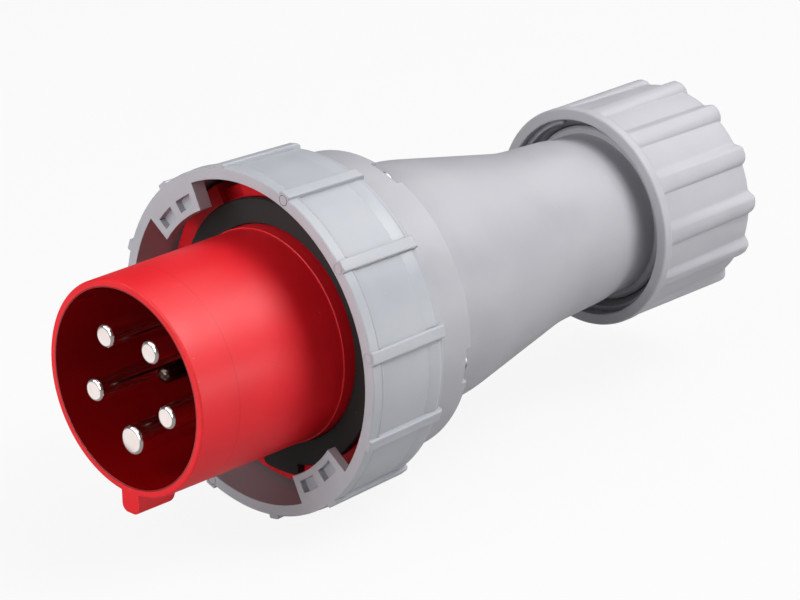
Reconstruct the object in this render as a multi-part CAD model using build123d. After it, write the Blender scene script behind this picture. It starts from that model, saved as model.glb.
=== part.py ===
from build123d import *
import math
import os

os.makedirs("parts", exist_ok=True)

# Five-pin 63 A, 400 V pin and sleeve plug, watertight type, all sizes in millimetres.
# The plug is built along X: the mating rim is at x = 0 and the cable leaves towards +X.
# Angles go round the X axis from +Y towards +Z, so 90 is straight up.
# The keyway and the earth pin are at 270, straight down, which marks the 400 V version.

# Clearances
running_gap = 0.4
slide_gap = 0.3
thread_gap = 0.35
seat_gap = 0.1
pin_gap = 0.05

# Red moulding: shroud and contact carrier in front, flange and spigot behind
shroud_r = 35.5
shroud_wall = 2.7
shroud_length = 60.0
shroud_draft = 0.5
rim_round = 0.5
collar_step = 0.4
collar_length = 7.2
floor_depth = 56.0
floor_thickness = 6.0
flange_width = 15.7
flange_disc = 3.8
flange_skirt = 11.4
skirt_wall = 4.2
skirt_floor = 0.9
journal_step = 3.0
spigot_wall = 4.4
flange_notch_start = 55.5
flange_notch_end = 69.0
flange_notch_depth = 2.5

# Key on the shroud
key_angle = 270.0
key_width = 8.0
key_height = 6.4
key_length = 13.8
key_run_out = 2.4
key_round = 2.6

# Contact pins
pin_names = ("pin_earth", "pin_l3", "pin_l2", "pin_l1", "pin_neutral")
pin_circle_r = 17.8
pin_r = 4.0
earth_pin_r = 5.0
pilot_pin_r = 3.0
pin_tip = 1.4
pilot_tip = 15.0
pin_round = 1.3
pilot_round = 2.6
pin_seat_step = 0.4
boss_length = 16.0
boss_web = 2.4
pin_shoulder = 4.2
pilot_shoulder = 1.8
shoulder_thickness = 3.0
terminal_wall = 3.0
wire_bore_r = 4.0
terminal_length = 26.0
wire_bore_depth = 20.0
terminal_chamfer = 0.6
wire_bore_chamfer = 0.4
pilot_terminal_wall = 1.8
pilot_bore_r = 1.8
pilot_terminal_length = 16.0
pilot_bore_depth = 12.0

# Clamping screws of the terminals
clamp_screw_r = 3.0
clamp_screw_length = 5.6
clamp_screw_first = 8.0
clamp_screw_pitch = 9.5
clamp_screw_stand = 2.0
pilot_screw_r = 1.5
pilot_screw_length = 4.0
slot_depth = 1.2
slot_width = 1.1

# Plate that holds the pins, with the walls between the terminals
plate_thickness = 4.0
plate_rim_gap = 0.8
barrier_thickness = 2.0
barrier_length = 22.0
barrier_start_r = 9.0
barrier_end_r = 33.0
post_r = 3.8
post_inset = 4.8
post_angles = (90.0, 234.0, 306.0)
plate_screw_r = 1.75
plate_screw_head_r = 3.2
plate_screw_head = 2.4
plate_screw_length = 11.0
screw_point = 0.8

# Front gasket
gasket_thickness = 3.0
gasket_lip = 0.4
gasket_width = 8.6
gasket_tab_height = 3.6
gasket_tab_angle = 20.0
gasket_tab_round = 2.0

# Coupling ring
ring_length = 33.2
ring_flange_gap = 2.3
ring_band = 4.4
ring_band_wall = 3.8
ring_band_step = 0.6
ring_wall = 2.1
ring_bore_draft = 0.5
ring_edge = 0.3
ring_shoulder = 5.6
ring_rear_chamfer = 0.9
ring_rib_count = 12
ring_rib_angle = 20.4
ring_rib_width = 4.1
ring_rib_front = 1.1
ring_rib_rear = 1.6
ring_rib_root = 1.5
ring_rib_round = 0.5
ring_rib_chamfer = 0.8
lug_count = 2
lug_angle = 50.4
lug_span = 28.4
lug_height = 9.2
lug_thin = 3.2
lug_thick = 5.1
pocket_inner_edge = 2.2
pocket_outer_edge = 2.9
pocket_near = 2.1
pocket_far = 10.8
pocket_depth = 2.3
marked_ribs = (4, 5, 10, 11)
mark_r = 1.8
mark_line = 0.25
mark_depth = 0.15
ring_turn = 45.0
stop_angle = 200.0
stop_span = 7.0
stop_depth = 2.0
stop_width = 1.8

# Rear housing
drum_wall = 2.05
drum_edge = 0.4
drum_length = 16.8
drum_rim_height = 2.4
drum_rim_wall = 2.4
drum_end_wall = 3.2
drum_step = 8.8
waist_length = 26.6
waist_taper = 0.8
cone_length = 51.0
neck_taper = 1.3
neck_length = 23.0
groove_depth = 1.0
groove_length = 13.8
groove_run_in = 5.0
cone_bend = 60.0
neck_bend = 12.0
housing_wall = 3.0
thread_r = 30.8
thread_height = 2.6
thread_chamfer = 1.0
thread_length = 32.2
gland_wall = 4.8
seal_bore_depth = 22.0
neck_stop_height = 5.5
neck_stop_slope = 3.0
neck_stop = 4.0

# Screws that hold the housing to the carrier
housing_screw_angles = (10.5, 107.5, 190.5, 287.5)
housing_screw_r = 1.75
housing_screw_length = 9.0
housing_screw_head_r = 3.8
housing_screw_head_gap = 0.3
housing_screw_head = 3.4
housing_screw_boss_r = 4.2
housing_screw_boss_floor = 3.0
rim_opening = 14.0

# Seal between carrier and housing
seal_cord_r = 1.3
seal_groove_offset = 1.2

# Cable gland
cage_wall = 3.5
cage_base = 12.0
cage_length = 26.0
cage_slot_count = 10
cage_slot_width = 1.6
cage_taper = 2.3
cage_tip = 4.0
cable_seal_wall = 5.6
cable_seal_lip = 1.0
cable_seal_length = 24.0
slip_ring_thickness = 2.0
slip_ring_step = 1.6
slip_ring_width = 6.5

# Gland nut
nut_length = 48.3
nut_bead = 3.3
nut_bead_wall = 4.0
nut_bead_step = 1.1
nut_taper = 1.4
nut_edge = 0.5
nut_rear_round = 4.0
nut_rib_count = 13
nut_rib_angle = 11.2
nut_rib_width = 7.2
nut_rib_drop = 0.1
nut_rib_root = 6.0
nut_rib_round = 1.4
nut_mouth_step = 3.6
nut_mouth_depth = 6.8
nut_exit_step = 1.9
nut_exit_length = 3.4

# Radii that follow from the sizes above
mouth_r = shroud_r - shroud_wall
floor_r = mouth_r - shroud_draft
collar_r = shroud_r + collar_step
flange_r = collar_r + flange_width
journal_r = flange_r - journal_step
spigot_bore_r = journal_r - spigot_wall
post_circle_r = spigot_bore_r - post_inset
ring_bore_r = flange_r + ring_flange_gap
ring_front_r = ring_bore_r + ring_band_wall
ring_rear_r = ring_bore_r + ring_wall
ring_rib_front_r = ring_front_r + ring_rib_front
ring_rib_rear_r = ring_rear_r + ring_rib_rear
lug_r = ring_bore_r - lug_height
drum_bore_r = journal_r + slide_gap / 2
drum_r = drum_bore_r + drum_wall
waist_r = drum_r - drum_step
cone_start_r = waist_r - waist_taper
housing_screw_circle_r = waist_r + housing_screw_head_r + housing_screw_head_gap
groove_r = thread_r - thread_height
neck_r = groove_r + groove_depth
neck_start_r = neck_r + neck_taper
seal_bore_r = thread_r - gland_wall
neck_stop_r = seal_bore_r - neck_stop_height
cage_r = seal_bore_r - slide_gap
cage_bore_r = cage_r - cage_wall
slip_ring_r = cage_r - slip_ring_step
slip_ring_bore_r = slip_ring_r - slip_ring_width
nut_mouth_r = thread_r + nut_mouth_step
nut_bead_r = nut_mouth_r + nut_bead_wall
nut_body_front_r = nut_bead_r - nut_bead_step
nut_body_rear_r = nut_body_front_r - nut_taper
nut_rib_r = nut_bead_r - nut_rib_drop
nut_exit_r = slip_ring_bore_r + nut_exit_step

# Places along the axis that follow from the sizes above
flange_front = shroud_length + collar_length
skirt_end = flange_front + flange_skirt
shoulder_front = skirt_end + running_gap
ring_rear = shoulder_front + ring_shoulder
ring_front = ring_rear - ring_length
housing_front = ring_rear + running_gap
drum_end = housing_front + drum_length
screw_seat = drum_end - drum_rim_height
drum_inside = screw_seat - drum_end_wall
spigot_end = drum_inside - slide_gap
boss_end = floor_depth + floor_thickness + boss_length
plate_front = boss_end + shoulder_thickness
plate_rear = plate_front + plate_thickness
waist_end = screw_seat + waist_length
cone_end = waist_end + cone_length
neck_end = cone_end + neck_length
thread_start = neck_end + groove_length
housing_end = thread_start + thread_length
seal_bore_start = housing_end - seal_bore_depth
cage_front = seal_bore_start + slide_gap
cage_end = cage_front + cage_length
slip_ring_front = cage_end + slide_gap
nut_shoulder = slip_ring_front + slip_ring_thickness + slide_gap
nut_end = nut_shoulder + nut_exit_length
nut_front = nut_end - nut_length


def turned(*points):
    """Solid of revolution about the X axis through (x, radius) points."""
    return revolve(make_face(Polyline(*points, close=True)), Axis.X)


def sector(x0, x1, r0, r1, start, end):
    """Part of a ring between two angles in degrees."""
    face = make_face(Polyline((x0, r0), (x1, r0), (x1, r1), (x0, r1), close=True))
    return Rot(X=start) * revolve(face, Axis.X, end - start)


def rod(x0, x1, radius, angle=0.0, distance=0.0):
    """Round bar along X at a distance from the plug's axis."""
    bar = Rot(Y=90) * Cylinder(radius, x1 - x0)
    return Rot(X=angle) * Pos((x0 + x1) / 2, distance, 0) * bar


def radial_rod(x, r0, r1, radius, angle, distance):
    """Round bar square to X that points away from the axis, starting at a pin's centre."""
    bar = Rot(X=-90) * Cylinder(radius, r1 - r0)
    return Rot(X=angle) * Pos(x, distance + (r0 + r1) / 2, 0) * bar


def shroud_key():
    """Polarising rib on the shroud with a rounded crest and a sloping rear end."""
    side = make_face(Polyline(
        (0, shroud_r - 1), (key_length + key_run_out, shroud_r - 1), (key_length + key_run_out, shroud_r),
        (key_length, shroud_r + key_height), (0, shroud_r + key_height), close=True))
    key = extrude(side, key_width / 2, both=True)
    crest = key.edges().filter_by(Axis.X).group_by(Axis.Y)[-1]
    return Rot(X=key_angle) * fillet(crest, key_round)


def pin_sizes():
    """Name, angle, distance from the axis, shank radius and shoulder radius of every pin."""
    sizes = []
    for i, name in enumerate(pin_names):
        radius = earth_pin_r if name == "pin_earth" else pin_r
        angle = key_angle + 360 / len(pin_names) * i
        sizes.append((name, angle, pin_circle_r, radius, radius + pin_shoulder))
    sizes.append(("pin_pilot", 90.0, 0.0, pilot_pin_r, pilot_pin_r + pilot_shoulder))
    return sizes


def seal_groove():
    """Groove in the spigot for the housing seal."""
    start = housing_front + seal_groove_offset
    width = 2 * seal_cord_r + 2 * seat_gap
    return sector(start, start + width, journal_r - 2 * seal_cord_r, journal_r + 1, 0, 360)


def contact_carrier():
    """Front of the red moulding: shroud, key, floor and collar with the bosses for the pins."""
    back = floor_depth + floor_thickness
    body = turned(
        (0, mouth_r), (0, shroud_r - rim_round), (rim_round, shroud_r), (shroud_length, shroud_r),
        (shroud_length, collar_r), (flange_front, collar_r), (flange_front, floor_r),
        (back, floor_r), (back, 0), (floor_depth, 0), (floor_depth, floor_r))
    body += shroud_key()
    for name, angle, distance, radius, shoulder in pin_sizes():
        body += rod(back - 1, boss_end, shoulder, angle, distance)
        if distance:
            web_length = flange_front - back + 1
            web = Pos(flange_front - web_length / 2, (distance + floor_r + 1) / 2, 0)
            body += Rot(X=angle) * web * Box(web_length, floor_r - distance + 1, boss_web)
    for name, angle, distance, radius, shoulder in pin_sizes():
        body -= rod(floor_depth - 1, boss_end + 1, radius + pin_seat_step + pin_gap, angle, distance)
    return body


def carrier_flange():
    """Rear of the red moulding: flange, journal and spigot with the posts and screw bosses."""
    disc_end = flange_front + flange_disc
    skirt_inside = skirt_end + skirt_floor
    body = turned(
        (flange_front, floor_r), (flange_front, flange_r), (skirt_end, flange_r), (skirt_end, journal_r),
        (spigot_end, journal_r), (spigot_end, spigot_bore_r), (skirt_inside, spigot_bore_r),
        (skirt_inside, flange_r - skirt_wall), (disc_end, flange_r - skirt_wall), (disc_end, floor_r))
    for angle in post_angles:
        body += rod(disc_end - 1, plate_front, post_r, angle, post_circle_r)
        tip = plate_rear - plate_screw_length - 1
        body -= rod(tip, plate_front + 1, plate_screw_r, angle, post_circle_r)
    boss_start = screw_seat - housing_screw_length - housing_screw_boss_floor
    for angle in housing_screw_angles:
        boss = rod(boss_start, spigot_end, housing_screw_boss_r, angle, housing_screw_circle_r)
        body += boss & rod(0, spigot_end, journal_r)
    body -= seal_groove()
    for angle in housing_screw_angles:
        tip = screw_seat - housing_screw_length - slide_gap
        body -= rod(tip, spigot_end + 1, housing_screw_r + pin_gap, angle, housing_screw_circle_r)
    for turn in (0, 180):
        start, end = flange_notch_start + turn, flange_notch_end + turn
        body -= sector(flange_front - 1, flange_front + flange_notch_depth,
                       collar_r + gasket_width + running_gap, flange_r + 1, start, end)
        body -= sector(flange_front - 1, skirt_end + 1, journal_r + slide_gap, flange_r + 1, start, end)
    gap = math.degrees(slide_gap / flange_r)
    body -= sector(skirt_end - stop_depth - slide_gap, skirt_end + 1, journal_r + slide_gap,
                   flange_r + 1, stop_angle - ring_turn - stop_span / 2 - gap,
                   stop_angle + stop_span / 2 + gap)
    return body


def contact_pin(angle, distance, radius, shoulder, tip):
    """Turned pin: rounded shank, thicker seat, shoulder and drilled terminal with tapped holes."""
    pilot = distance == 0
    bore = pilot_bore_r if pilot else wire_bore_r
    length = pilot_terminal_length if pilot else terminal_length
    depth = pilot_bore_depth if pilot else wire_bore_depth
    terminal = terminal_radius(radius)
    end = plate_front + length
    seat_r = radius + pin_seat_step
    outline = make_face(Polyline(
        (tip, 0), (tip, radius), (floor_depth, radius), (floor_depth, seat_r), (boss_end, seat_r),
        (boss_end, shoulder), (plate_front, shoulder), (plate_front, terminal),
        (end - terminal_chamfer, terminal), (end, terminal - terminal_chamfer),
        (end, bore + wire_bore_chamfer), (end - wire_bore_chamfer, bore),
        (end - depth, bore), (end - depth - bore / 2, 0), close=True))
    corner = outline.vertices().sort_by_distance((tip, radius, 0))[0]
    outline = fillet(corner, pilot_round if pilot else pin_round)
    pin = Rot(X=angle) * Pos(0, distance, 0) * revolve(outline, Axis.X)
    for x, screw_angle, inner, outer, screw_r in clamp_screw_places(angle, distance, radius):
        pin -= radial_rod(x, 0, outer, screw_r + pin_gap, screw_angle, distance)
    return pin


def terminal_radius(radius):
    """Outside radius of a pin's drilled rear end."""
    if radius == pilot_pin_r:
        return pilot_bore_r + pilot_terminal_wall
    return wire_bore_r + terminal_wall + (radius - pin_r)


def clamp_screw_places(angle, distance, radius):
    """Place, direction, inner end, outer end and radius of each clamping screw of one pin."""
    outer = terminal_radius(radius) + clamp_screw_stand
    if distance == 0:
        x = plate_front + pilot_terminal_length - pilot_bore_depth / 2
        return [(x, angle, outer - pilot_screw_length, outer, pilot_screw_r)]
    first = plate_front + clamp_screw_first
    return [(first + clamp_screw_pitch * i, angle, outer - clamp_screw_length, outer, clamp_screw_r)
            for i in range(2)]


def clamp_screw(x, angle, inner, outer, radius, distance):
    """Slotted clamping screw in a terminal."""
    screw = radial_rod(x, inner, outer, radius, angle, distance)
    slot = Pos(x, distance + outer - slot_depth / 2, 0) * Box(slot_width, slot_depth, 2 * radius + 1)
    return screw - Rot(X=angle) * slot


def terminal_plate():
    """Insulating plate behind the pin shoulders, with a wall between each two terminals."""
    plate = rod(plate_front, plate_rear, spigot_bore_r - plate_rim_gap)
    for name, angle, distance, radius, shoulder in pin_sizes():
        plate -= rod(plate_front - 1, plate_rear + 1, terminal_radius(radius) + slide_gap, angle, distance)
    for angle in housing_screw_angles:
        plate -= rod(plate_front - 1, plate_rear + 1, housing_screw_boss_r + running_gap,
                     angle, housing_screw_circle_r)
    for angle in post_angles:
        plate -= rod(plate_front - 1, plate_rear + 1, plate_screw_r + seat_gap, angle, post_circle_r)
    for i in range(len(pin_names)):
        wall = Box(barrier_length + 1, barrier_end_r - barrier_start_r, barrier_thickness)
        middle = Pos(plate_rear + (barrier_length - 1) / 2, (barrier_start_r + barrier_end_r) / 2, 0)
        plate += Rot(X=key_angle + 360 / len(pin_names) * (i + 0.5)) * middle * wall
    return plate


def pan_screw(seat, length, radius, head_r, head, angle, distance):
    """Pan-head screw whose head stands on the seat and points towards +X."""
    tip = seat - length
    screw = turned((tip, 0), (tip, radius - screw_point), (tip + screw_point, radius),
                   (seat, radius), (seat, head_r), (seat + head * 0.55, head_r),
                   (seat + head, head_r * 0.6), (seat + head, 0))
    cross = Box(head, head_r, slot_width) + Box(head, slot_width, head_r)
    screw -= Pos(seat + head - slot_depth + head / 2, 0, 0) * cross
    return Rot(X=angle) * Pos(0, distance, 0) * screw


def plate_screws():
    """Screws of the terminal plate."""
    return [pan_screw(plate_rear, plate_screw_length, plate_screw_r - pin_gap, plate_screw_head_r,
                      plate_screw_head, angle, post_circle_r) for angle in post_angles]


def housing_screws():
    """Screws from the housing into the carrier's spigot."""
    return [pan_screw(screw_seat, housing_screw_length, housing_screw_r, housing_screw_head_r,
                      housing_screw_head, angle, housing_screw_circle_r) for angle in housing_screw_angles]


def front_gasket():
    """Flat rubber gasket on the flange, with a locating tab beside the key."""
    inner, outer = collar_r + seat_gap, collar_r + gasket_width
    front = flange_front - gasket_thickness
    gasket = turned((front, inner + gasket_lip), (front, outer - gasket_lip), (front + gasket_lip, outer),
                    (flange_front, outer), (flange_front, inner), (front + gasket_lip, inner))
    half = gasket_tab_angle / 2
    tab = sector(front, flange_front, outer - 2, outer + gasket_tab_height,
                 key_angle - half, key_angle + half)
    corners = tab.edges().filter_by(Axis.X).sort_by(lambda e: math.hypot(e.center().Y, e.center().Z))
    tab = fillet(corners[-2:], gasket_tab_round)
    return gasket + tab


def housing_seal():
    """Round-section seal in the spigot's groove."""
    x = housing_front + seal_groove_offset + seal_cord_r + seat_gap
    return Pos(x, 0, 0) * Rot(Y=90) * Torus(journal_r - seal_cord_r + seat_gap, seal_cord_r)


def ring_rib():
    """One grip rib of the coupling ring, at angle 0."""
    base = ring_rear_r - ring_rib_root
    side = make_face(Polyline(
        (ring_front, base), (ring_rear, base), (ring_rear, ring_rib_rear_r - ring_rib_chamfer),
        (ring_rear - ring_rib_chamfer, ring_rib_rear_r), (ring_front, ring_rib_front_r), close=True))
    rib = extrude(side, ring_rib_width / 2, both=True)
    crest = rib.faces().sort_by(Axis.Y)[-1].edges()
    return fillet(crest.sort_by(SortBy.LENGTH)[-2:], ring_rib_round)


def bayonet_lug(angle):
    """Inward lug with a rising ramp on its rear face and two moulded pockets."""
    mean = (lug_thin + lug_thick) / 2
    middle_r = (lug_r + ring_bore_r) / 2
    rise = math.degrees(math.atan((lug_thick - lug_thin) / (math.radians(lug_span) * middle_r)))
    half = lug_span / 2
    lug = sector(ring_front, ring_front + lug_thick + 1, lug_r, ring_bore_r + 1, angle - half, angle + half)
    block = Pos(ring_length / 2, 0, 0) * Box(ring_length, 4 * lug_height, ring_bore_r)
    ramp = Pos(ring_front + mean, middle_r, 0) * Rot(Y=rise) * block
    lug -= Rot(X=angle) * ramp
    for near, far in ((pocket_near, pocket_far), (-pocket_far, -pocket_near)):
        lug -= sector(ring_front - 1, ring_front + pocket_depth, lug_r + pocket_inner_edge,
                      ring_bore_r - pocket_outer_edge, angle + near, angle + far)
    return lug


def coupling_ring():
    """Bayonet ring that turns on the journal between the flange and the housing."""
    front_r, band_end = ring_front_r, ring_front + ring_band
    shoulder_r = journal_r + slide_gap
    ring = turned(
        (ring_front, ring_bore_r), (ring_front, front_r - ring_edge), (ring_front + ring_edge, front_r),
        (band_end, front_r), (band_end + ring_edge, front_r - ring_band_step),
        (ring_rear - ring_rear_chamfer, ring_rear_r), (ring_rear, ring_rear_r - ring_rear_chamfer),
        (ring_rear, shoulder_r), (shoulder_front, shoulder_r),
        (shoulder_front, ring_bore_r - ring_bore_draft), (ring_front, ring_bore_r))
    rib = ring_rib()
    for i in range(ring_rib_count):
        ring += Rot(X=ring_rib_angle + 360 / ring_rib_count * i) * rib
    for i in range(lug_count):
        ring += bayonet_lug(lug_angle + 360 / lug_count * i)
    tooth_r = shoulder_r + slide_gap
    ring += sector(shoulder_front - stop_depth, shoulder_front + 1, tooth_r, tooth_r + stop_width,
                   stop_angle - stop_span / 2, stop_angle + stop_span / 2)
    mark_circle_r = (ring_bore_r + ring_rib_front_r) / 2
    for i in marked_ribs:
        angle = ring_rib_angle + 360 / ring_rib_count * i
        outer = rod(ring_front - 1, ring_front + mark_depth, mark_r, angle, mark_circle_r)
        ring -= outer - rod(ring_front - 2, ring_front + 1, mark_r - mark_line, angle, mark_circle_r)
    return ring


def rear_housing():
    """Drum, waist, cone and threaded neck in one grey moulding."""
    wall = housing_wall
    rim_r = drum_r - drum_rim_wall
    neck_bore_r = groove_r - wall
    stop_front = seal_bore_start - neck_stop
    outline = make_face(Polyline(
        (housing_front, drum_bore_r), (housing_front, drum_r - drum_edge),
        (housing_front + drum_edge, drum_r), (drum_end - drum_edge, drum_r),
        (drum_end, drum_r - drum_edge), (drum_end, rim_r), (screw_seat, rim_r),
        (screw_seat, waist_r), (waist_end, cone_start_r), (cone_end, neck_start_r), (neck_end, neck_r),
        (neck_end + groove_run_in, groove_r), (thread_start, groove_r),
        (thread_start, thread_r - thread_chamfer), (thread_start + thread_chamfer, thread_r),
        (housing_end - thread_chamfer, thread_r), (housing_end, thread_r - thread_chamfer),
        (housing_end, seal_bore_r), (seal_bore_start, seal_bore_r), (seal_bore_start, neck_stop_r),
        (stop_front, neck_stop_r), (stop_front - neck_stop_slope, neck_bore_r),
        (neck_end, neck_bore_r), (cone_end, neck_start_r - wall), (waist_end, cone_start_r - wall),
        (drum_inside, waist_r - wall), (drum_inside, drum_bore_r), close=True))
    bends = ((waist_end, cone_start_r, cone_bend), (cone_end, neck_start_r, cone_bend),
             (neck_end, neck_r, neck_bend))
    for x, radius, bend in bends:
        corner = outline.vertices().sort_by_distance((x, radius, 0))[0]
        outline = fillet(corner, bend)
    housing = revolve(outline, Axis.X)
    for angle in housing_screw_angles:
        housing -= sector(screw_seat, drum_end + 1, rim_r - 1, drum_r + 1,
                          angle - rim_opening / 2, angle + rim_opening / 2)
        housing -= rod(drum_inside - 1, screw_seat + 1, housing_screw_r + slide_gap,
                       angle, housing_screw_circle_r)
    return housing


def clamp_cage():
    """Ring of fingers that the gland nut closes on the cable."""
    cage = turned((cage_front, cage_bore_r), (cage_front, cage_r), (cage_end - cage_tip, cage_r),
                  (cage_end, cage_r - cage_taper), (cage_end, cage_bore_r))
    length = cage_length - cage_base + 1
    for i in range(cage_slot_count):
        slot = Pos(cage_end + 1 - length / 2, cage_r, 0) * Box(length, 4 * cage_wall, cage_slot_width)
        cage -= Rot(X=360 / cage_slot_count * i) * slot
    return cage


def cable_seal():
    """Rubber sleeve inside the cage."""
    outer, lip = cage_bore_r - seat_gap, cable_seal_lip
    bore = outer - cable_seal_wall
    end = cage_front + cable_seal_length
    return turned((cage_front, bore + lip), (cage_front, outer), (end - lip, outer), (end, outer - lip),
                  (end, bore + lip), (end - 2 * lip, bore), (cage_front + 2 * lip, bore))


def slip_ring():
    """Flat ring between the nut and the cage, so that the cable isn't twisted."""
    end = slip_ring_front + slip_ring_thickness
    return turned((slip_ring_front, slip_ring_bore_r), (slip_ring_front, slip_ring_r),
                  (end, slip_ring_r), (end, slip_ring_bore_r))


def nut_rib():
    """One rounded grip rib of the gland nut, at angle 0."""
    start = nut_front + nut_bead / 2
    middle = Pos((start + nut_end) / 2, nut_rib_r - nut_rib_root / 2, 0)
    rib = middle * Box(nut_end - start, nut_rib_root, nut_rib_width)
    crest = rib.edges().filter_by(Axis.X).group_by(Axis.Y)[-1]
    rib = fillet(crest, nut_rib_round)
    rear = rib.faces().sort_by(Axis.X)[-1].edges().group_by(Axis.Y)[-1]
    return fillet(rear, nut_rib_round / 2)


def gland_nut():
    """Nut with a smooth bead in front, grip ribs and a stepped bore."""
    body = make_face(Polyline(
        (nut_front, 0), (nut_front, nut_bead_r - nut_edge), (nut_front + nut_edge, nut_bead_r),
        (nut_front + nut_bead, nut_bead_r), (nut_front + nut_bead + nut_edge, nut_body_front_r),
        (nut_end, nut_body_rear_r), (nut_end, 0), close=True))
    corner = body.vertices().sort_by_distance((nut_end, nut_body_rear_r, 0))[0]
    nut = revolve(fillet(corner, nut_rear_round), Axis.X)
    rib = nut_rib()
    for i in range(nut_rib_count):
        nut += Rot(X=nut_rib_angle + 360 / nut_rib_count * i) * rib
    thread_bore = thread_r + thread_gap
    thread_end = housing_end + running_gap
    pocket_r = slip_ring_r + slide_gap
    bore = turned(
        (nut_front - 1, 0), (nut_front - 1, nut_mouth_r + nut_edge), (nut_front, nut_mouth_r + nut_edge),
        (nut_front + nut_edge, nut_mouth_r), (nut_front + nut_mouth_depth, nut_mouth_r),
        (nut_front + nut_mouth_depth, thread_bore), (thread_end, thread_bore),
        (slip_ring_front - slide_gap, cage_r + slide_gap), (slip_ring_front - slide_gap, pocket_r),
        (nut_shoulder, pocket_r), (nut_shoulder, nut_exit_r), (nut_end - nut_edge, nut_exit_r),
        (nut_end, nut_exit_r + nut_edge), (nut_end + 1, nut_exit_r + nut_edge), (nut_end + 1, 0))
    return nut - bore


def all_parts():
    """Every node's name with its solid, or list of solids."""
    parts = {"contact_carrier": contact_carrier(), "carrier_flange": carrier_flange()}
    screws = {"phase_terminal_screws": [], "earth_terminal_screws": [], "pilot_terminal_screw": []}
    group = {"pin_earth": "earth_terminal_screws", "pin_pilot": "pilot_terminal_screw"}
    for name, angle, distance, radius, shoulder in pin_sizes():
        tip = pilot_tip if name == "pin_pilot" else pin_tip
        parts[name] = contact_pin(angle, distance, radius, shoulder, tip)
        for place in clamp_screw_places(angle, distance, radius):
            x, screw_angle, inner, outer, screw_r = place
            screw = clamp_screw(x, screw_angle, inner, outer, screw_r, distance)
            screws[group.get(name, "phase_terminal_screws")].append(screw)
    parts.update(screws)
    parts["terminal_plate"] = terminal_plate()
    parts["plate_screws"] = plate_screws()
    parts["front_gasket"] = front_gasket()
    parts["coupling_ring"] = coupling_ring()
    parts["rear_housing"] = rear_housing()
    parts["housing_seal"] = housing_seal()
    parts["housing_screws"] = housing_screws()
    parts["clamp_cage"] = clamp_cage()
    parts["cable_seal"] = cable_seal()
    parts["slip_ring"] = slip_ring()
    parts["gland_nut"] = gland_nut()
    return parts


# The plug lies on the ribs of its coupling ring: the origin is on that surface, under the middle.
parts = all_parts()
box = parts["coupling_ring"].bounding_box()
place = Pos(-nut_end / 2, -(box.min.Y + box.max.Y) / 2, -box.min.Z)
for name, solid in parts.items():
    solids = solid if isinstance(solid, list) else [solid]
    placed = [place * item for item in solids]
    export_step(placed[0] if len(placed) == 1 else Compound(children=placed), f"parts/{name}.step")
print("length", round(nut_end, 2), "ring front", round(ring_front, 2), "drum end", round(drum_end, 2),
      "nut front", round(nut_front, 2), "axis height", round(-box.min.Z, 3))
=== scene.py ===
# %% [markdown]
# # A five-pin watertight power plug
# The imported model already holds every solid at its real size. This lesson dresses it: it shades the
# mouldings, builds the gland nut, its thread and other soft-edged pieces as surfaces, gives each
# piece the finish of its real material, and lights it as a small product on a pale table.

# %% Load the model
import math

import bpy
import numpy as np
from mathutils import Matrix, Vector


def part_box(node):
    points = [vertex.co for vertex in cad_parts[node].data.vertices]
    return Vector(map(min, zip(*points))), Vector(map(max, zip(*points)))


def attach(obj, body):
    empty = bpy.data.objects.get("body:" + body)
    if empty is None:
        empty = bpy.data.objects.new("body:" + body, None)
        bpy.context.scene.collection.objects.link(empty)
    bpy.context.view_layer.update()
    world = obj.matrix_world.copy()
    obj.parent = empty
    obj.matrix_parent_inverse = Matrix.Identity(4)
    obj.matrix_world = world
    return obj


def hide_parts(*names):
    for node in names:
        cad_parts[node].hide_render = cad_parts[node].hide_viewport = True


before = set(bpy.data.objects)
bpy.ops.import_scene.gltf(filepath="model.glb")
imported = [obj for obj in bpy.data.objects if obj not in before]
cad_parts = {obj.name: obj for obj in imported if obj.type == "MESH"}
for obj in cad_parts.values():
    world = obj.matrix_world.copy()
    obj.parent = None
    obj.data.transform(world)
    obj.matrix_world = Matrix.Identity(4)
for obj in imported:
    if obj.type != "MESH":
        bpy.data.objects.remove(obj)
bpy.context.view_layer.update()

# %% [markdown]
# ## Where things are
# The plug lies along X with its mating rim at the low end, so most places are easiest to say as a
# distance from the rim, a radius round the axis and an angle from +Y towards +Z. The rim and the
# axis are read from the imported solids, so a new model moves every new piece with it.

# %% Rim and axis
MM = 0.001
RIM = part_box("contact_carrier")[0].x / MM
AXIS = (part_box("slip_ring")[0].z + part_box("slip_ring")[1].z) / 2 / MM


def place(x, radius, angle):
    """Points in metres at a distance x from the rim, a radius and an angle in degrees, as arrays in mm.
    Y is the radius times the cosine of the angle and Z the radius times its sine, from the axis."""
    x, radius, turn = np.broadcast_arrays(x, radius, np.radians(angle))
    return np.stack([RIM + x, radius * np.cos(turn), AXIS + radius * np.sin(turn)], axis=-1) * MM


print("rim", round(RIM, 2), "axis height", round(AXIS, 2))

# %% [markdown]
# ## Surfaces from whole arrays
# A grid of points becomes a mesh in one step: each vertex number follows from its row and column,
# so the faces are four shifted copies of the same number grid. A grid that closes on itself takes
# its last row or column back to the first.

# %% Grid to mesh
def grid_faces(rows, columns, close_rows):
    """Quads (i, j), (i+1, j), (i+1, j+1), (i, j+1) between the points of a grid. The last column joins
    the first, and the last row joins the first where close_rows says so."""
    i = np.arange(rows if close_rows else rows - 1)[:, None]
    j = np.arange(columns)[None, :]
    next_i, next_j = (i + 1) % rows, (j + 1) % columns
    corners = [i * columns + j, next_i * columns + j, next_i * columns + next_j, i * columns + next_j]
    return np.stack(corners, axis=-1).reshape(-1, 4)


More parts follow.
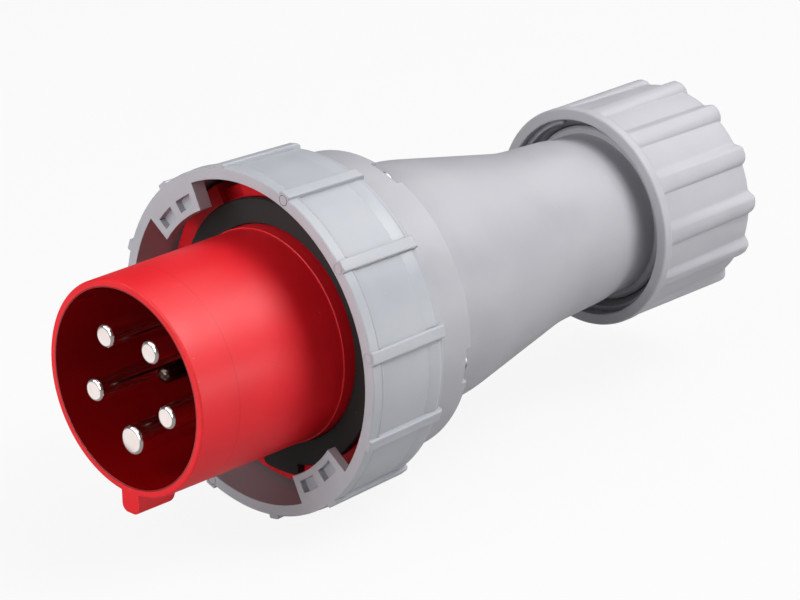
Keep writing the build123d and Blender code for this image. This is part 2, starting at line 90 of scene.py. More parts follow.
def grid_piece(name, points, close_rows=True):
    """A smooth mesh object at the origin from grids of points of shape (copies, rows, columns, 3).
    Rows that don't close get a flat cap on each end."""
    copies, rows, columns = points.shape[:3]
    faces = grid_faces(rows, columns, close_rows)
    column = np.arange(columns)
    caps = [] if close_rows else [column, column[::-1] + (rows - 1) * columns]
    starts = np.arange(copies) * rows * columns
    polygons = (faces[None] + starts[:, None, None]).reshape(-1, 4).tolist()
    polygons += [(cap + start).tolist() for cap in caps for start in starts]
    mesh = bpy.data.meshes.new(name)
    mesh.from_pydata(points.reshape(-1, 3).tolist(), [], polygons)
    mesh.update()
    mesh.polygons.foreach_set("use_smooth", np.ones(len(mesh.polygons), bool))
    piece = bpy.data.objects.new(name, mesh)
    bpy.context.scene.collection.objects.link(piece)
    return piece


print("a closed grid of 3 by 4 points has", len(grid_faces(3, 4, True)), "faces")

# %% [markdown]
# ## Rounded outlines
# A moulding has no sharp corner, so an outline is given by its corners and a rounding for each, and
# the arcs are worked out. An arc's points lie on straight steps between its two ends, pushed out to
# the arc's radius.

# %% Corners to arcs
TINY = 1e-9
SAME_POINT = 1e-6


def unit(vectors):
    """Vectors of length one: each divided by its own length."""
    return vectors / np.linalg.norm(vectors, axis=-1, keepdims=True)


def rounded(corners, steps):
    """Closed outline through (x, radius, rounding) corners. Each rounding is an arc between the two
    points that lie rounding / tan(half the corner's angle) from the corner."""
    corners = np.array(corners, float)
    at, arc = corners[:, :2], corners[:, 2:]
    back = unit(np.roll(at, 1, axis=0) - at)
    ahead = unit(np.roll(at, -1, axis=0) - at)
    half = np.arccos(np.clip((back * ahead).sum(1, keepdims=True), -1, 1)) / 2
    reach = arc / np.tan(half)
    middle = (at + unit(back + ahead) * arc / np.sin(half))[:, None]
    start, end = (at + back * reach)[:, None], (at + ahead * reach)[:, None]
    t = np.linspace(0, 1, steps)[None, :, None]
    chord = start * (1 - t) + end * t - middle
    length = np.linalg.norm(chord, axis=2, keepdims=True)
    arcs = middle + chord / np.maximum(length, TINY) * arc[:, None]
    points = np.where(arc[:, None] > 0, arcs, at[:, None]).reshape(-1, 2)
    apart = np.linalg.norm(points - np.roll(points, 1, axis=0), axis=1) > SAME_POINT
    return points[apart]


def resampled(points, count):
    """The same open line with evenly spaced points: positions are read off along its length."""
    run = np.r_[0, np.cumsum(np.linalg.norm(np.diff(points, axis=0), axis=1))]
    at = np.linspace(0, run[-1], count)
    return np.stack([np.interp(at, run, points[:, 0]), np.interp(at, run, points[:, 1])], axis=1)


square = rounded([(0, 0, 0), (1, 0, 0), (1, 1, 0.2), (0, 1, 0)], 5)
print("a square with one rounded corner has", len(square), "points")

# %% [markdown]
# ## Finish of a new piece
# Each new piece gets its material and the body that it moves with. A weighted normal lets a large
# face keep its own direction, so that only its rounded edge bends the light.

# %% Finish a piece
def finish_piece(piece, material, node_name):
    """Weighted normals, material and ride."""
    piece.modifiers.new("weighted_normals", "WEIGHTED_NORMAL").keep_sharp = True
    piece.data.materials.append(material)
    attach(piece, node_name)
    print(piece.name, "faces", len(piece.data.polygons))


# %% [markdown]
# ## Node helper
# One small function adds a shader node, its settings and its links. Colours are written as the hex
# values a colour picker shows, and one function turns them to the linear values that Blender wants.

# %% Colour and node helpers
def colour(text):
    """sRGB hex to linear: values under 0.04045 are divided by 12.92, others go through the 2.4 power."""
    c = np.array([int(text[i:i + 2], 16) for i in (1, 3, 5)]) / 255
    return (*np.where(c <= 0.04045, c / 12.92, ((c + 0.055) / 1.055) ** 2.4), 1.0)


def add(tree, kind, settings=None, **inputs):
    """Adds a node of a kind. Settings are its own properties, inputs its sockets by name, or by number
    after an i: each takes a value or a link."""
    node = tree.nodes.new(kind)
    for key, value in (settings or {}).items():
        setattr(node, key, value)
    for key, value in inputs.items():
        numbered = key[0] == "i" and key[1:].isdigit()
        socket = node.inputs[int(key[1:]) if numbered else key.replace("_", " ")]
        if isinstance(value, bpy.types.NodeSocket):
            tree.links.new(value, socket)
        else:
            socket.default_value = value
    return node


def new_material(name):
    """An empty material with its shader and Object coordinates."""
    material = bpy.data.materials.new(name)
    material.use_nodes = True
    tree = material.node_tree
    tree.nodes.clear()
    shader = add(tree, "ShaderNodeBsdfPrincipled")
    add(tree, "ShaderNodeOutputMaterial", Surface=shader.outputs["BSDF"])
    where = add(tree, "ShaderNodeTexCoord").outputs["Object"]
    return material, tree, shader, where


print("middle grey in linear light", round(float(colour("#808080")[0]), 3))

# %% [markdown]
# ## Moulded polyamide
# The shroud, ring, housing and nut are glass-filled polyamide from steel moulds. The mould is
# spark-eroded, which prints a fine grain of about 0.15 mm into the surface and spreads its gloss.
# Slow flow in the mould leaves cloudy changes of tone some 20 mm across. The grain is drawn at
# 0.3 mm, because the real one is finer than a pixel of the picture. Dust lies on it as tiny pale
# specks. The core that forms the inside of the shroud is polished, so the inside is glossier, and its
# deeper red is painted shade of the deep mouth. The mould's parting line shows on the outside only, with a
# share of that darker red.

# %% Polished core, its painted shade and the parting line
PARTING_AT = 15.8
PARTING_WIDTH = 0.22
PARTING_DARK = 0.5
CORE_RADIUS = 33.3
CORE_ROUGHNESS = 0.24


def core_shade_and_parting(tree, where, base, gloss, core_shade_and_line):
    """Base and gloss, with a lower roughness inside the radius of the polished mould insert, the length
    of (y, z - axis), and a darker colour painted there as the shade of the deep mouth. The parting line
    outside it has a share of that darker colour, where the distance |x - line| is near 0."""
    across = add(tree, "ShaderNodeVectorMath", {"operation": "MULTIPLY_ADD"}, i0=where, i1=(0, 1, 1),
                 i2=(0, 0, -AXIS * MM)).outputs[0]
    radius = add(tree, "ShaderNodeVectorMath", {"operation": "LENGTH"}, i0=across).outputs["Value"]
    outside = add(tree, "ShaderNodeMath", {"operation": "GREATER_THAN"}, i0=radius,
                  i1=CORE_RADIUS * MM).outputs[0]
    along = add(tree, "ShaderNodeSeparateXYZ", Vector=where).outputs["X"]
    off = add(tree, "ShaderNodeMath", {"operation": "SUBTRACT"}, i0=along,
              i1=(RIM + PARTING_AT) * MM).outputs[0]
    near = add(tree, "ShaderNodeMath", {"operation": "ABSOLUTE"}, i0=off).outputs[0]
    line = add(tree, "ShaderNodeMapRange", {"interpolation_type": "SMOOTHSTEP"}, Value=near,
               From_Min=0.0, From_Max=PARTING_WIDTH * MM, To_Min=1 - PARTING_DARK, To_Max=1.0).outputs[0]
    plain = add(tree, "ShaderNodeMath", {"operation": "MULTIPLY"}, i0=outside, i1=line).outputs[0]
    # Painted shade: the deep inside takes the darker colour as the shade of the mouth, and the parting line
    # takes a share of it.
    base = add(tree, "ShaderNodeMix", {"data_type": "RGBA"}, Factor=plain, A=colour(core_shade_and_line), B=base)
    gloss = add(tree, "ShaderNodeMix", Factor=outside, A=CORE_ROUGHNESS, B=gloss)
    return base.outputs["Result"], gloss.outputs["Result"]


print("parting line at", round(RIM + PARTING_AT, 2), "core radius", CORE_RADIUS)

# %% Polyamide
CLOUD = 20
DUST = 6
DUST_SHARE = 0.12
DUST_COLOUR = "#F4F2F0"
GRAIN = 0.3
GRAIN_DEPTH = 0.02
SOFT_EDGE = 0.5
SMOOTHER, ROUGHER = 0.04, 0.05
POLYAMIDE_IOR = 1.53


def moulded(name, dark, light, roughness, core_shade_and_line=None):
    """Polyamide: cloudy tone between two colours, spark-eroded grain and dust specks. Mould edges are
    rounded by about half a millimetre, which a bevel node gives to the light. core_shade_and_line is a
    darker colour painted as shade on a deep inside with polished, glossier walls, and the colour of the
    parting line outside it."""
    material, tree, shader, where = new_material(name)
    clouds = add(tree, "ShaderNodeTexNoise", Vector=where, Scale=1 / (CLOUD * MM), Detail=4.0,
                 Roughness=0.55).outputs["Fac"]
    cloudy = add(tree, "ShaderNodeMapRange", Value=clouds, From_Min=0.3, From_Max=0.7).outputs[0]
    tone = add(tree, "ShaderNodeMix", {"data_type": "RGBA"}, Factor=cloudy, A=colour(dark),
               B=colour(light)).outputs["Result"]
    specks = add(tree, "ShaderNodeTexVoronoi", Vector=where, Scale=1 / (DUST * MM)).outputs["Distance"]
    dust = add(tree, "ShaderNodeMapRange", {"interpolation_type": "SMOOTHSTEP"}, Value=specks,
               From_Min=0.03, From_Max=0.04, To_Min=DUST_SHARE, To_Max=0.0).outputs[0]
    base = add(tree, "ShaderNodeMix", {"data_type": "RGBA"}, Factor=dust, A=tone,
               B=colour(DUST_COLOUR)).outputs["Result"]
    gloss = add(tree, "ShaderNodeMapRange", Value=cloudy, To_Min=roughness - SMOOTHER,
                To_Max=roughness + ROUGHER).outputs[0]
    if core_shade_and_line:
        base, gloss = core_shade_and_parting(tree, where, base, gloss, core_shade_and_line)
    erosion = add(tree, "ShaderNodeTexNoise", Vector=where, Scale=1 / (GRAIN * MM), Detail=2.0)
    soft_edge = add(tree, "ShaderNodeBevel", {"samples": 4}, Radius=SOFT_EDGE * MM)
    bump = add(tree, "ShaderNodeBump", Height=erosion.outputs["Fac"], Strength=0.35,
               Distance=GRAIN_DEPTH * MM, Normal=soft_edge.outputs["Normal"])
    tree.links.new(base, shader.inputs["Base Color"])
    tree.links.new(gloss, shader.inputs["Roughness"])
    tree.links.new(bump.outputs["Normal"], shader.inputs["Normal"])
    shader.inputs["IOR"].default_value = POLYAMIDE_IOR
    return material


# The second red given here is painted shade for the shroud's deep inside.
red_polyamide = moulded("red_polyamide", "#D20414", "#DE081C", roughness=0.47, core_shade_and_line="#8A0207")
ring_polyamide = moulded("cool_grey_polyamide", "#A4A7AD", "#ACAEB4", roughness=0.40)
housing_polyamide = moulded("warm_grey_polyamide", "#A6A6AC", "#ACACB1", roughness=0.42)
nut_polyamide = moulded("pale_grey_polyamide", "#ACABB1", "#B1B0B6", roughness=0.46)
plate_polyamide = moulded("dark_polyamide", "#1C1D20", "#26272A", roughness=0.45)
cage_polyamide = moulded("natural_polyamide", "#D6D2C4", "#DEDACE", roughness=0.4)
print("polyamide grain", GRAIN, "mm, clouds", CLOUD, "mm")

# %% [markdown]
# ## Rubber
# The gasket is black moulded rubber: nearly no gloss, and a skin of fine grain with a little pale
# lint on it. One noise texture serves twice: it mottles the black and raises the skin, so that tone
# and relief agree.

# %% Rubber
RUBBER_GRAIN = 0.4
RUBBER_DEPTH = 0.03
LINT = 4
LINT_SHARE = 0.35
LINT_COLOUR = "#8A8A88"


def rubber(name, dark, light, roughness, ior):
    """Black rubber with a matt skin of 0.4 mm grain and rare pale lint."""
    material, tree, shader, where = new_material(name)
    skin = add(tree, "ShaderNodeTexNoise", Vector=where, Scale=1 / (RUBBER_GRAIN * MM),
               Detail=3.0).outputs["Fac"]
    mottle = add(tree, "ShaderNodeMapRange", Value=skin, From_Min=0.35, From_Max=0.65).outputs[0]
    tone = add(tree, "ShaderNodeMix", {"data_type": "RGBA"}, Factor=mottle, A=colour(dark),
               B=colour(light)).outputs["Result"]
    specks = add(tree, "ShaderNodeTexVoronoi", Vector=where, Scale=1 / (LINT * MM)).outputs["Distance"]
    lint = add(tree, "ShaderNodeMapRange", {"interpolation_type": "SMOOTHSTEP"}, Value=specks,
               From_Min=0.035, From_Max=0.045, To_Min=LINT_SHARE, To_Max=0.0).outputs[0]
    base = add(tree, "ShaderNodeMix", {"data_type": "RGBA"}, Factor=lint, A=tone, B=colour(LINT_COLOUR))
    bump = add(tree, "ShaderNodeBump", Height=skin, Strength=0.5, Distance=RUBBER_DEPTH * MM)
    tree.links.new(base.outputs["Result"], shader.inputs["Base Color"])
    tree.links.new(bump.outputs["Normal"], shader.inputs["Normal"])
    shader.inputs["Roughness"].default_value = roughness
    shader.inputs["IOR"].default_value = ior
    return material


black_rubber = rubber("black_rubber", "#131314", "#1B1B1C", roughness=0.62, ior=1.52)
print("rubber grain", RUBBER_GRAIN, "mm")

# %% [markdown]
# ## Nickel and zinc
# The pins are turned brass with a bright nickel skin, so they show the faint rings of the lathe, a
# tenth of a millimetre apart, drawn at 0.4 mm. The rings could be cut into the mesh, but a wave
# texture along X bends the light in the same way and costs no faces. The short pilot pin is a little
# rougher, and its much darker colour is a painted reflection of the dark shroud inside that its rounded tip
# mirrors. The screws are steel with a zinc skin, slightly blue.

# %% Plated metals
SMUDGE = 3
HAZE = 1.8


def plated(name, dark, light, roughness, ring_width, ring_depth):
    """Plated metal with lathe rings: a wave along X bends the reflection a little. The wave repeats
    every pi / 10 / scale, and smudges raise the roughness up to 1.8 times."""
    material, tree, shader, where = new_material(name)
    rings = add(tree, "ShaderNodeTexWave", {"bands_direction": "X"}, Vector=where,
                Scale=math.pi / 10 / (ring_width * MM), Distortion=1.2, Detail=1.0)
    smudge = add(tree, "ShaderNodeTexNoise", Vector=where, Scale=1 / (SMUDGE * MM), Detail=3.0)
    hazy = add(tree, "ShaderNodeMapRange", Value=smudge.outputs["Fac"], From_Min=0.3,
               From_Max=0.7).outputs[0]
    gloss = add(tree, "ShaderNodeMapRange", Value=hazy, To_Min=roughness, To_Max=roughness * HAZE)
    bump = add(tree, "ShaderNodeBump", Height=rings.outputs["Fac"], Strength=0.15,
               Distance=ring_depth * MM)
    tone = add(tree, "ShaderNodeMix", {"data_type": "RGBA"}, Factor=hazy, A=colour(dark), B=colour(light))
    tree.links.new(tone.outputs["Result"], shader.inputs["Base Color"])
    tree.links.new(gloss.outputs[0], shader.inputs["Roughness"])
    tree.links.new(bump.outputs["Normal"], shader.inputs["Normal"])
    shader.inputs["Metallic"].default_value = 1.0
    return material


nickel = plated("bright_nickel_on_brass", "#F0E6E2", "#F8F0EE", roughness=0.10, ring_width=0.4,
                ring_depth=0.004)
# Painted reflection: the pilot's dark colour stands in for the dark shroud inside that its rounded tip
# mirrors.
pilot_nickel_painted_dark = plated("pilot_nickel_with_painted_reflection", "#483A37", "#5A4844", roughness=0.16, ring_width=0.4,
                     ring_depth=0.004)
zinc = plated("zinc_on_steel", "#B9BCC0", "#E9EAEB", roughness=0.26, ring_width=0.5, ring_depth=0.01)
print("metals", nickel.name, pilot_nickel_painted_dark.name, zinc.name)

# %% [markdown]
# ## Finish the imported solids
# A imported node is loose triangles, so smooth shading has nothing to work on. A Weld modifier joins
# its corners and an Edge Split at 30 degrees keeps real edges crisp, which shades every
# cylinder as round and leaves the stored mesh as it is.

# %% Shade and paint the nodes
WELD_REACH = 0.002
SPLIT_ANGLE = 30
FINISH = {
    "contact_carrier": red_polyamide, "carrier_flange": red_polyamide,
    "terminal_plate": plate_polyamide, "front_gasket": black_rubber,
    "coupling_ring": ring_polyamide, "rear_housing": housing_polyamide, "gland_nut": nut_polyamide,
    "housing_seal": black_rubber, "cable_seal": black_rubber, "clamp_cage": cage_polyamide,
    "slip_ring": cage_polyamide, "pin_pilot": pilot_nickel_painted_dark,
}


def dress(node_name, material):
    """One material, smooth faces in place of the stored normals, and a weld and edge split on top."""
    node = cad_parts[node_name]
    node.data.materials.clear()
    node.data.materials.append(material)
    node.data.polygons.foreach_set("material_index", np.zeros(len(node.data.polygons), np.int32))
    node.data.polygons.foreach_set("use_smooth", np.ones(len(node.data.polygons), bool))
    if node.data.has_custom_normals:
        with bpy.context.temp_override(object=node, active_object=node):
            bpy.ops.mesh.customdata_custom_splitnormals_clear()
    node.modifiers.new("weld", "WELD").merge_threshold = WELD_REACH * MM
    node.modifiers.new("edges", "EDGE_SPLIT").split_angle = math.radians(SPLIT_ANGLE)


for node_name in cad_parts:
    dress(node_name, FINISH.get(node_name, nickel if node_name.startswith("pin_") else zinc))
print("finished", len(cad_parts), "nodes")

# %% [markdown]
# ## The gland nut
# The nut's grip is thirteen soft ribs between shallow valleys. Each rib has a soft slope on one side
# and a round shoulder with a crease on the other, and ends at the back in a rounded lobe. The blend
# is softer than a bevelled box, so the nut is one surface: two outlines, one through a valley and
# one over a crest, mixed by a weight that depends on the angle.

# %% Nut outlines
NUT_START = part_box("gland_nut")[0].x / MM - RIM
NUT_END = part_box("gland_nut")[1].x / MM - RIM
NUT_CREST = (38.3, 38.2)
NUT_VALLEY = (37.3, 35.9)
NUT_BEAD = 38.4
BEAD_WIDTH = 3.3
GRIP_FROM = 3.9
VALLEY_SHOULDER, CREST_SHOULDER = 4.0, 2.4
NUT_MOUTH, MOUTH_DEPTH = 34.4, 6.8
NUT_BORE, CONE_END = 31.15, 8.6
NUT_POCKET, POCKET_END = 24.4, 6.0
NUT_EXIT, EXIT_WALL = 19.5, 3.4
EXIT_BEVEL = (0.7, 0.5)
REAR_FACE_END = 0.9
ARC_STEPS = 9
OUTSIDE_POINTS = 60


def nut_outlines():
    """Valley and crest outlines with equal point counts; only their outside stretches differ."""
    a, b = NUT_START, NUT_END
    inside = [(b, NUT_EXIT + EXIT_BEVEL[1], 0.4), (b - EXIT_BEVEL[0], NUT_EXIT, 0.3),
              (b - EXIT_WALL, NUT_EXIT, 0), (b - EXIT_WALL, NUT_POCKET, 0),
              (b - POCKET_END, NUT_POCKET, 0), (b - CONE_END, NUT_BORE, 0),
              (a + MOUTH_DEPTH, NUT_BORE, 0), (a + MOUTH_DEPTH, NUT_MOUTH, 0.3),
              (a, NUT_MOUTH, 0.5), (a, NUT_BEAD, 0.7), (a + BEAD_WIDTH, NUT_BEAD, 0.5)]
    valley = [(a + GRIP_FROM, NUT_VALLEY[0], 0.5), (b, NUT_VALLEY[1], VALLEY_SHOULDER)]
    crest = [(a + GRIP_FROM, NUT_CREST[0], 0.2), (b, NUT_CREST[1], CREST_SHOULDER)]
    return rounded(valley + inside, ARC_STEPS), rounded(crest + inside, ARC_STEPS)


def split_outline(line):
    """The outside stretch of an outline, resampled, then the rest as it is."""
    to_foot = np.abs(line[:, 0] - NUT_END) + np.abs(line[:, 1] - (NUT_EXIT + REAR_FACE_END))
    foot = np.argmin(to_foot)
    return resampled(line[:foot], OUTSIDE_POINTS), line[foot:]


valley_line, crest_line = nut_outlines()
valley_outside, inside_line = split_outline(valley_line)
crest_outside = split_outline(crest_line)[0]
outline_points = OUTSIDE_POINTS + len(inside_line)
print("nut from", round(NUT_START, 1), "to", round(NUT_END, 1), "outline points", outline_points)

# %% Nut surface
NUT_RIBS = 13
NUT_RIB_AT = 11.2
NUT_PITCH = 360 / NUT_RIBS
RISE_FROM, RISE_WIDTH = -7.2, 5.4
FALL_FROM, FALL_WIDTH = -1.0, 7.4
CREASE_AT = 6.4
SHRINK_FROM = 3.0
SHOULDER_POWER, CREASE_POWER = 2.6, 0.7
VALLEY_POINTS, RIB_POINTS, CREASE_POINTS = 6, 16, 10


def rib_weight(offset):
    """1 on a rib's crest and 0 in a valley, by the angle from the rib. The first side blends softly:
    t t (3 - 2 t). The second is a round shoulder that ends in a crease: (1 - t^2.6)^0.7."""
    rise = np.clip((offset - RISE_FROM) / RISE_WIDTH, 0, 1)
    fall = np.clip((offset - FALL_FROM) / FALL_WIDTH, 0, 1)
    return np.minimum(rise * rise * (3 - 2 * rise), (1 - fall ** SHOULDER_POWER) ** CREASE_POWER)


def rib_offsets():
    """Angles across one rib, dense where it bends: towards the crease the steps shrink as a square."""
    shrinking = np.linspace(1, 0, CREASE_POINTS, endpoint=False) ** 2
    return np.r_[np.linspace(-NUT_PITCH / 2, RISE_FROM, VALLEY_POINTS, endpoint=False),
                 np.linspace(RISE_FROM, SHRINK_FROM, RIB_POINTS, endpoint=False),
                 CREASE_AT - (CREASE_AT - SHRINK_FROM) * shrinking,
                 np.linspace(CREASE_AT, NUT_PITCH / 2, VALLEY_POINTS, endpoint=False)]


offsets = rib_offsets()
nut_turns = (NUT_RIB_AT + NUT_PITCH * np.arange(NUT_RIBS)[:, None] + offsets[None, :]).ravel()
weight = np.tile(rib_weight(offsets), NUT_RIBS)[:, None, None]
outside = valley_outside[None] * (1 - weight) + crest_outside[None] * weight
inside = np.broadcast_to(inside_line, (len(nut_turns), *inside_line.shape))
section = np.concatenate([outside, inside], axis=1)
nut = grid_piece("ribbed_gland_nut", place(section[..., 0], section[..., 1], nut_turns[:, None])[None])
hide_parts("gland_nut")
finish_piece(nut, nut_polyamide, "gland_nut")

# %% [markdown]
# ## The start of the nut's thread
# Inside the mouth the thread begins as a ridge that winds nearly once round, with a pitch of 4 mm, and
# stops abruptly at both ends. A Screw modifier could wind it, but it would leave the ends open, so it
# is a small outline carried along a helix with a cap at each end. It stays outside the neck's
# thread, which is 30.8 mm in radius.

# %% Thread ridge
THREAD_PITCH = 4.0
THREAD_FROM = 72.0
THREAD_TURN = 300.0
THREAD_STEPS = 120
RIDGE_ARC_STEPS = 4
RIDGE_AT = 2.2
RIDGE_CREST = 32.7
RIDGE_ROOT = NUT_MOUTH + 0.6
RIDGE = [(0, RIDGE_ROOT, 0), (2.0, RIDGE_ROOT, 0), (1.7, RIDGE_CREST, 0.3), (0.3, RIDGE_CREST, 0.3)]


def thread_ridge():
    """Helix: x grows by the pitch for each full turn, and the outline stays the same."""
    turn = np.linspace(THREAD_FROM - THREAD_TURN, THREAD_FROM, THREAD_STEPS)[:, None]
    run = (THREAD_FROM - turn) / 360 * THREAD_PITCH
    outline = rounded(RIDGE, RIDGE_ARC_STEPS)[None]
    x = NUT_START + RIDGE_AT + run + outline[..., 0]
    return grid_piece("nut_thread_start", place(x, outline[..., 1], turn)[None], close_rows=False)


finish_piece(thread_ridge(), nut_polyamide, "gland_nut")

# %% [markdown]
# ## Panels of the coupling ring
# Between two ribs the ring has a shallow panel. In front it ends in the step of the thicker band,
# whose crest catches a thin bright line. Towards the back it swells by 0.4 mm and then falls away in a
# slope that faces the lamp. Both are too slight to matter in the solid and only show in the light, so
# each is a thin outline swept from one rib to the next, on top of the solid.

# %% Crest and swell
RING_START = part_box("coupling_ring")[0].x / MM - RIM
RING_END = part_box("coupling_ring")[1].x / MM - RIM
RING_RIBS = 12
RING_PITCH = 360 / RING_RIBS
RING_RIB_AT = 20.4
RIB_COVER = 1.6
PANEL_STEPS = 28
PANEL_ARC_STEPS = 5
BAND_R = 57.7
REAR_R = 56.0
BAND_CREST = [
    (RING_START + 3.5, BAND_R - 0.1, 0), (RING_START + 4.0, BAND_R + 0.15, 0.3),
    (RING_START + 4.45, BAND_R + 0.15, 0.1), (RING_START + 5.0, REAR_R + 0.8, 0),
    (RING_START + 4.4, REAR_R + 0.2, 0), (RING_START + 3.6, REAR_R + 0.2, 0)]
PANEL_SWELL = [
    (RING_END - 8.0, REAR_R + 0.24, 0), (RING_END - 2.8, REAR_R + 0.45, 1.0),
    (RING_END - 0.15, REAR_R - 0.6, 0.2), (RING_END - 0.4, REAR_R - 1.0, 0),
    (RING_END - 7.8, REAR_R - 0.6, 0)]


def swept_panels(name, corners):
    """The outline (x, radius, rounding) at every angle between two ribs, for each of the twelve panels."""
    outline = rounded(corners, PANEL_ARC_STEPS)
    turn = RING_RIB_AT + np.linspace(RIB_COVER, RING_PITCH - RIB_COVER, PANEL_STEPS)
    angle = turn[None, :, None] + RING_PITCH * np.arange(RING_RIBS)[:, None, None]
    return grid_piece(name, place(outline[:, 0], outline[:, 1], angle), close_rows=False)


for name, corners in (("ring_band_crest", BAND_CREST), ("ring_panel_swell", PANEL_SWELL)):
    finish_piece(swept_panels(name, corners), ring_polyamide, "coupling_ring")

# %% [markdown]
# ## Marks of the mould
# The front ends of three ribs show a fine circle, where the mould's ejector pins pushed the ring out.
# Two pairs are grooves of the solid. The third pair is a flat wire of 0.2 mm in a darker grey: painted
# shade that stands in for the shadow inside a groove too fine to show in the picture.

# %% Ejector marks
MARK_CENTRE = 56.35
MARK_R = 1.7
MARK_AT = (110.4, 290.4)
MARK_STEPS = 36
HALF_LINE = 0.1
PROUD, SUNK = 0.03, 0.1


def mould_marks():
    """Circles of painted groove shade in the ring's front plane: y and z are the centre's plus the radius
    times cosine and sine.
    """
    inner, outer = MARK_R - HALF_LINE, MARK_R + HALF_LINE
    section = np.array([(SUNK, inner), (-PROUD, inner), (-PROUD, outer), (SUNK, outer)])
    round_mark = np.linspace(0, 2 * math.pi, MARK_STEPS, endpoint=False)[:, None]
    at = np.radians(MARK_AT)[:, None, None]
    y = MARK_CENTRE * np.cos(at) + section[:, 1] * np.cos(round_mark)
    z = MARK_CENTRE * np.sin(at) + section[:, 1] * np.sin(round_mark)
    x = np.broadcast_to(section[:, 0] + RING_START, y.shape)
    return grid_piece("ring_ejector_mark_shade", np.stack([x + RIM, y, z + AXIS], axis=-1) * MM)


# Painted shade: this darker grey stands in for the shadow inside the fine ejector-mark groove.
painted_mark_shade = moulded("painted_groove_shade", "#55535A", "#5F5D64", roughness=0.5)
finish_piece(mould_marks(), painted_mark_shade, "coupling_ring")

# %% [markdown]
# ## Camera
# The photograph was taken with a long lens from the pin side, above and to the left. The camera's
# place and turn are real distances and angles, worked out once from the round edges of the plug. An
# angle set by eye fits one end of such a long object and misses the other.

# %% Camera
CAMERA_AT = (-753.789, -895.691, 474.743)
HEADING = 45.708
LOOK_DOWN = 20.975
ROLL = -1.534
SENSOR = 36
LENS = 183.19
SEES_TO = 20
camera_data = bpy.data.cameras.new("camera")
camera_data.sensor_width = SENSOR
camera_data.lens = LENS
camera_data.clip_end = SEES_TO
camera = bpy.data.objects.new("camera", camera_data)
bpy.context.scene.collection.objects.link(camera)
camera_turn = (Matrix.Rotation(math.radians(HEADING - 90), 4, "Z")
               @ Matrix.Rotation(math.radians(90 - LOOK_DOWN), 4, "X")
               @ Matrix.Rotation(math.radians(ROLL), 4, "Z"))
seat = Vector(((RIM + CAMERA_AT[0]) * MM, CAMERA_AT[1] * MM, (AXIS + CAMERA_AT[2]) * MM))
camera.matrix_world = Matrix.Translation(seat) @ camera_turn
bpy.context.scene.camera = camera
print("camera", round(seat.length, 2), "m from the origin")

# %% [markdown]
# ## Table and card
# A pale table that looks white to the camera keeps the soft shadow. A card lies on it in front of
# the pins. It looks like the table but is bright to mirrors, as a white card would be, and the flat
# pin ends mirror it.

# %% Table and card
SHEET_GREY = 0.55
SHADOW_SHARE = 0.1
GLOW_TINT = (1, 0.97, 0.96, 1)
TABLE_MIRRORED, CARD_MIRRORED = 0.3, 1.0
TABLE_REACH = 6
CARD_LOW, CARD_HIGH = (-0.31, 0.03), (-0.175, 0.19)
CARD_THICK = 0.4


def sheet_material(name, mirrored):
    """White to the camera except for a share of shadow. To mirrors it has its own strength, and to
    everything else it is a plain grey surface."""
    material = bpy.data.materials.new(name)
    material.use_nodes = True
    tree = material.node_tree
    tree.nodes.clear()
    paint = add(tree, "ShaderNodeBsdfDiffuse", Color=(SHEET_GREY, SHEET_GREY, SHEET_GREY, 1)).outputs[0]
    white = add(tree, "ShaderNodeEmission", Color=(1, 1, 1, 1), Strength=1.0).outputs[0]
    glow = add(tree, "ShaderNodeEmission", Color=GLOW_TINT, Strength=mirrored).outputs[0]
    seen = add(tree, "ShaderNodeLightPath").outputs
    share = add(tree, "ShaderNodeMath", {"operation": "MULTIPLY"}, i0=seen["Is Camera Ray"],
                i1=1 - SHADOW_SHARE).outputs[0]
    to_camera = add(tree, "ShaderNodeMixShader", i0=share, i1=paint, i2=white).outputs[0]
    mixed = add(tree, "ShaderNodeMixShader", i0=seen["Is Glossy Ray"], i1=to_camera, i2=glow).outputs[0]
    add(tree, "ShaderNodeOutputMaterial", Surface=mixed)
    return material


def sheet(name, low, high, height, material):
    """A flat rectangle between two corners, given in metres."""
    (x0, y0), (x1, y1) = low, high
    corners = [(x0, y0, height), (x1, y0, height), (x1, y1, height), (x0, y1, height)]
    mesh = bpy.data.meshes.new(name)
    mesh.from_pydata(corners, [], [(0, 1, 2, 3)])
    mesh.materials.append(material)
    piece = bpy.data.objects.new(name, mesh)
    bpy.context.scene.collection.objects.link(piece)


sheet("table", (-TABLE_REACH, -TABLE_REACH), (TABLE_REACH, TABLE_REACH), 0,
      sheet_material("pale_table", TABLE_MIRRORED))
sheet("white_card", CARD_LOW, CARD_HIGH, CARD_THICK * MM, sheet_material("white_card", CARD_MIRRORED))
print("card from", CARD_LOW, "to", CARD_HIGH)

# %% [markdown]
# ## Lamps
# A large soft lamp stands high on the right and makes the long highlight. Weaker ones fill from
# above, the back, the left and low down on the right, a small one in front draws the bright lines
# along the rims, and a low one lights the pins.

# %% Lamps
AIM = Vector((0, 0, AXIS * MM))


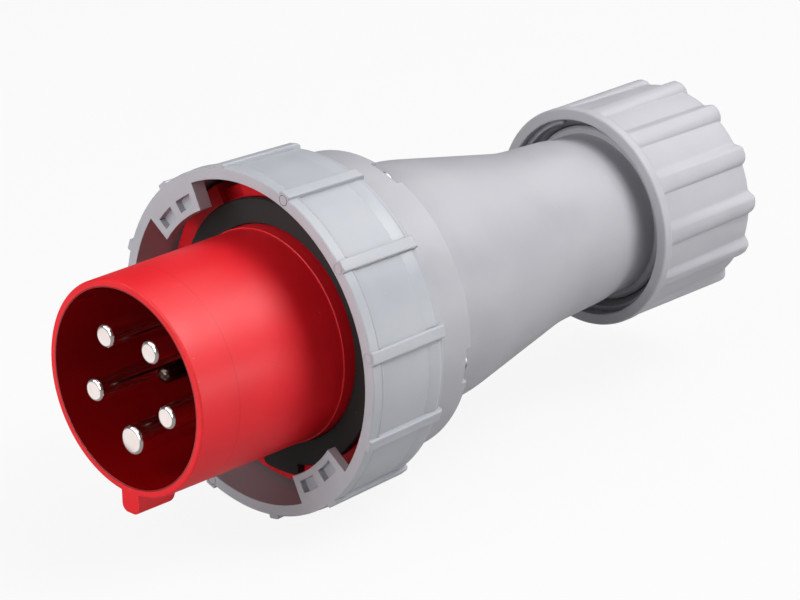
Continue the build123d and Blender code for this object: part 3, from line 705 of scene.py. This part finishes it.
def softbox(name, at, size, watts):
    """A rectangular area lamp at a place in metres, turned so that its front, -Z, faces the plug."""
    data = bpy.data.lights.new(name, "AREA")
    data.shape = "RECTANGLE"
    data.size, data.size_y = size
    data.energy = watts
    lamp = bpy.data.objects.new(name, data)
    bpy.context.scene.collection.objects.link(lamp)
    lamp.location = at
    lamp.rotation_euler = (Vector(at) - AIM).to_track_quat("Z", "Y").to_euler()


softbox("key_lamp", at=(0.5, -0.75, 1.22), size=(0.8, 0.8), watts=19)
softbox("top_lamp", at=(0.0, 0.0, 1.3), size=(1.2, 1.2), watts=3.5)
softbox("back_lamp", at=(1.0, 0.1, 0.95), size=(0.9, 0.9), watts=4.5)
softbox("left_lamp", at=(-1.0, 0.5, 0.6), size=(0.7, 0.7), watts=5.5)
softbox("low_lamp", at=(-1.2, -0.1, 0.25), size=(0.6, 0.4), watts=5)
softbox("front_lamp", at=(-1.1, -0.1, 0.9), size=(0.4, 0.4), watts=3.5)
softbox("right_lamp", at=(0.5, -1.2, 0.12), size=(0.9, 0.3), watts=5)
print("lamps", len(bpy.data.lights), "watts", sum(lamp.energy for lamp in bpy.data.lights))

# %% [markdown]
# ## Studio
# The studio behind the table is white to the camera. Metal mirrors a tenth of it, and to everything
# else it is nearly dark, so that it adds next to no light.

# %% Studio
STUDIO_WHITE = 0.95
STUDIO_MIRRORED = 0.08
STUDIO_LIGHT = 0.02
world = bpy.data.worlds.new("studio")
bpy.context.scene.world = world
world.use_nodes = True
tree = world.node_tree
seen = add(tree, "ShaderNodeLightPath").outputs
mirrored = add(tree, "ShaderNodeMath", {"operation": "MULTIPLY_ADD"}, i0=seen["Is Glossy Ray"],
               i1=STUDIO_MIRRORED, i2=STUDIO_LIGHT).outputs[0]
strength = add(tree, "ShaderNodeMath", {"operation": "MULTIPLY_ADD"}, i0=seen["Is Camera Ray"],
               i1=STUDIO_WHITE, i2=mirrored).outputs[0]
backdrop = tree.nodes["Background"]
backdrop.inputs["Color"].default_value = (1, 1, 1, 1)
tree.links.new(strength, backdrop.inputs["Strength"])
bpy.context.scene.view_settings.view_transform = "Standard"
print("studio to the camera", round(STUDIO_WHITE + STUDIO_LIGHT, 2))
